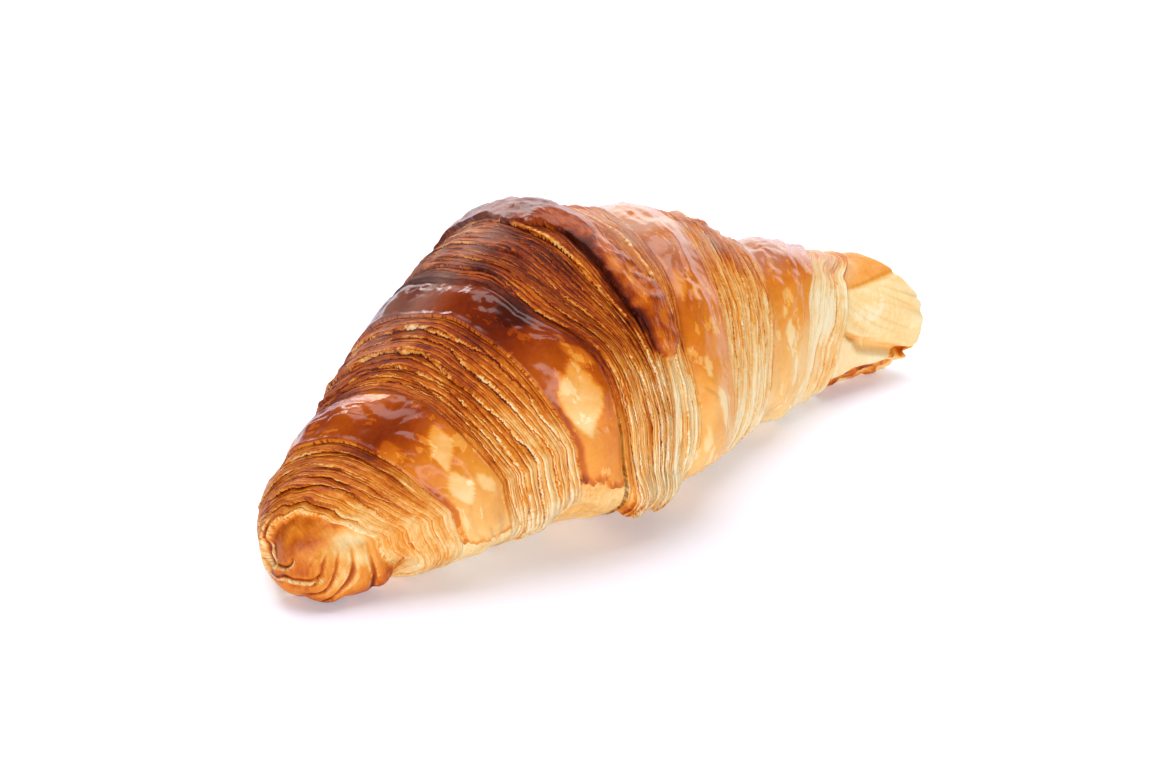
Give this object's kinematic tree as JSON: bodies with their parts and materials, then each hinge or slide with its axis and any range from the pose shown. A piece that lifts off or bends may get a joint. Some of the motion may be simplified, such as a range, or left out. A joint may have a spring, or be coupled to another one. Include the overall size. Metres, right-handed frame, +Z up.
{
  "type": "croissant",
  "caption": "Whole baked butter croissant, straight and diamond shaped, with smooth glazed wraps between flaky cut edges, a spiral tip and a blunt folded tip.",
  "frame": {"origin": "centre of the bounding box, on the plane that the base rests on", "axes": "+X along the roll from the spiral tip to the folded tip, +Y towards the back, +Z up"},
  "size_m": [0.1758, 0.0762, 0.0672],
  "materials": {
    "crust": "egg-washed baked crust, dark and glossy on top, golden and dry at the cut edges and pale at the base"
  },
  "bodies": {
    "root": {"croissant": "crust"}
  },
  "joints": []
}
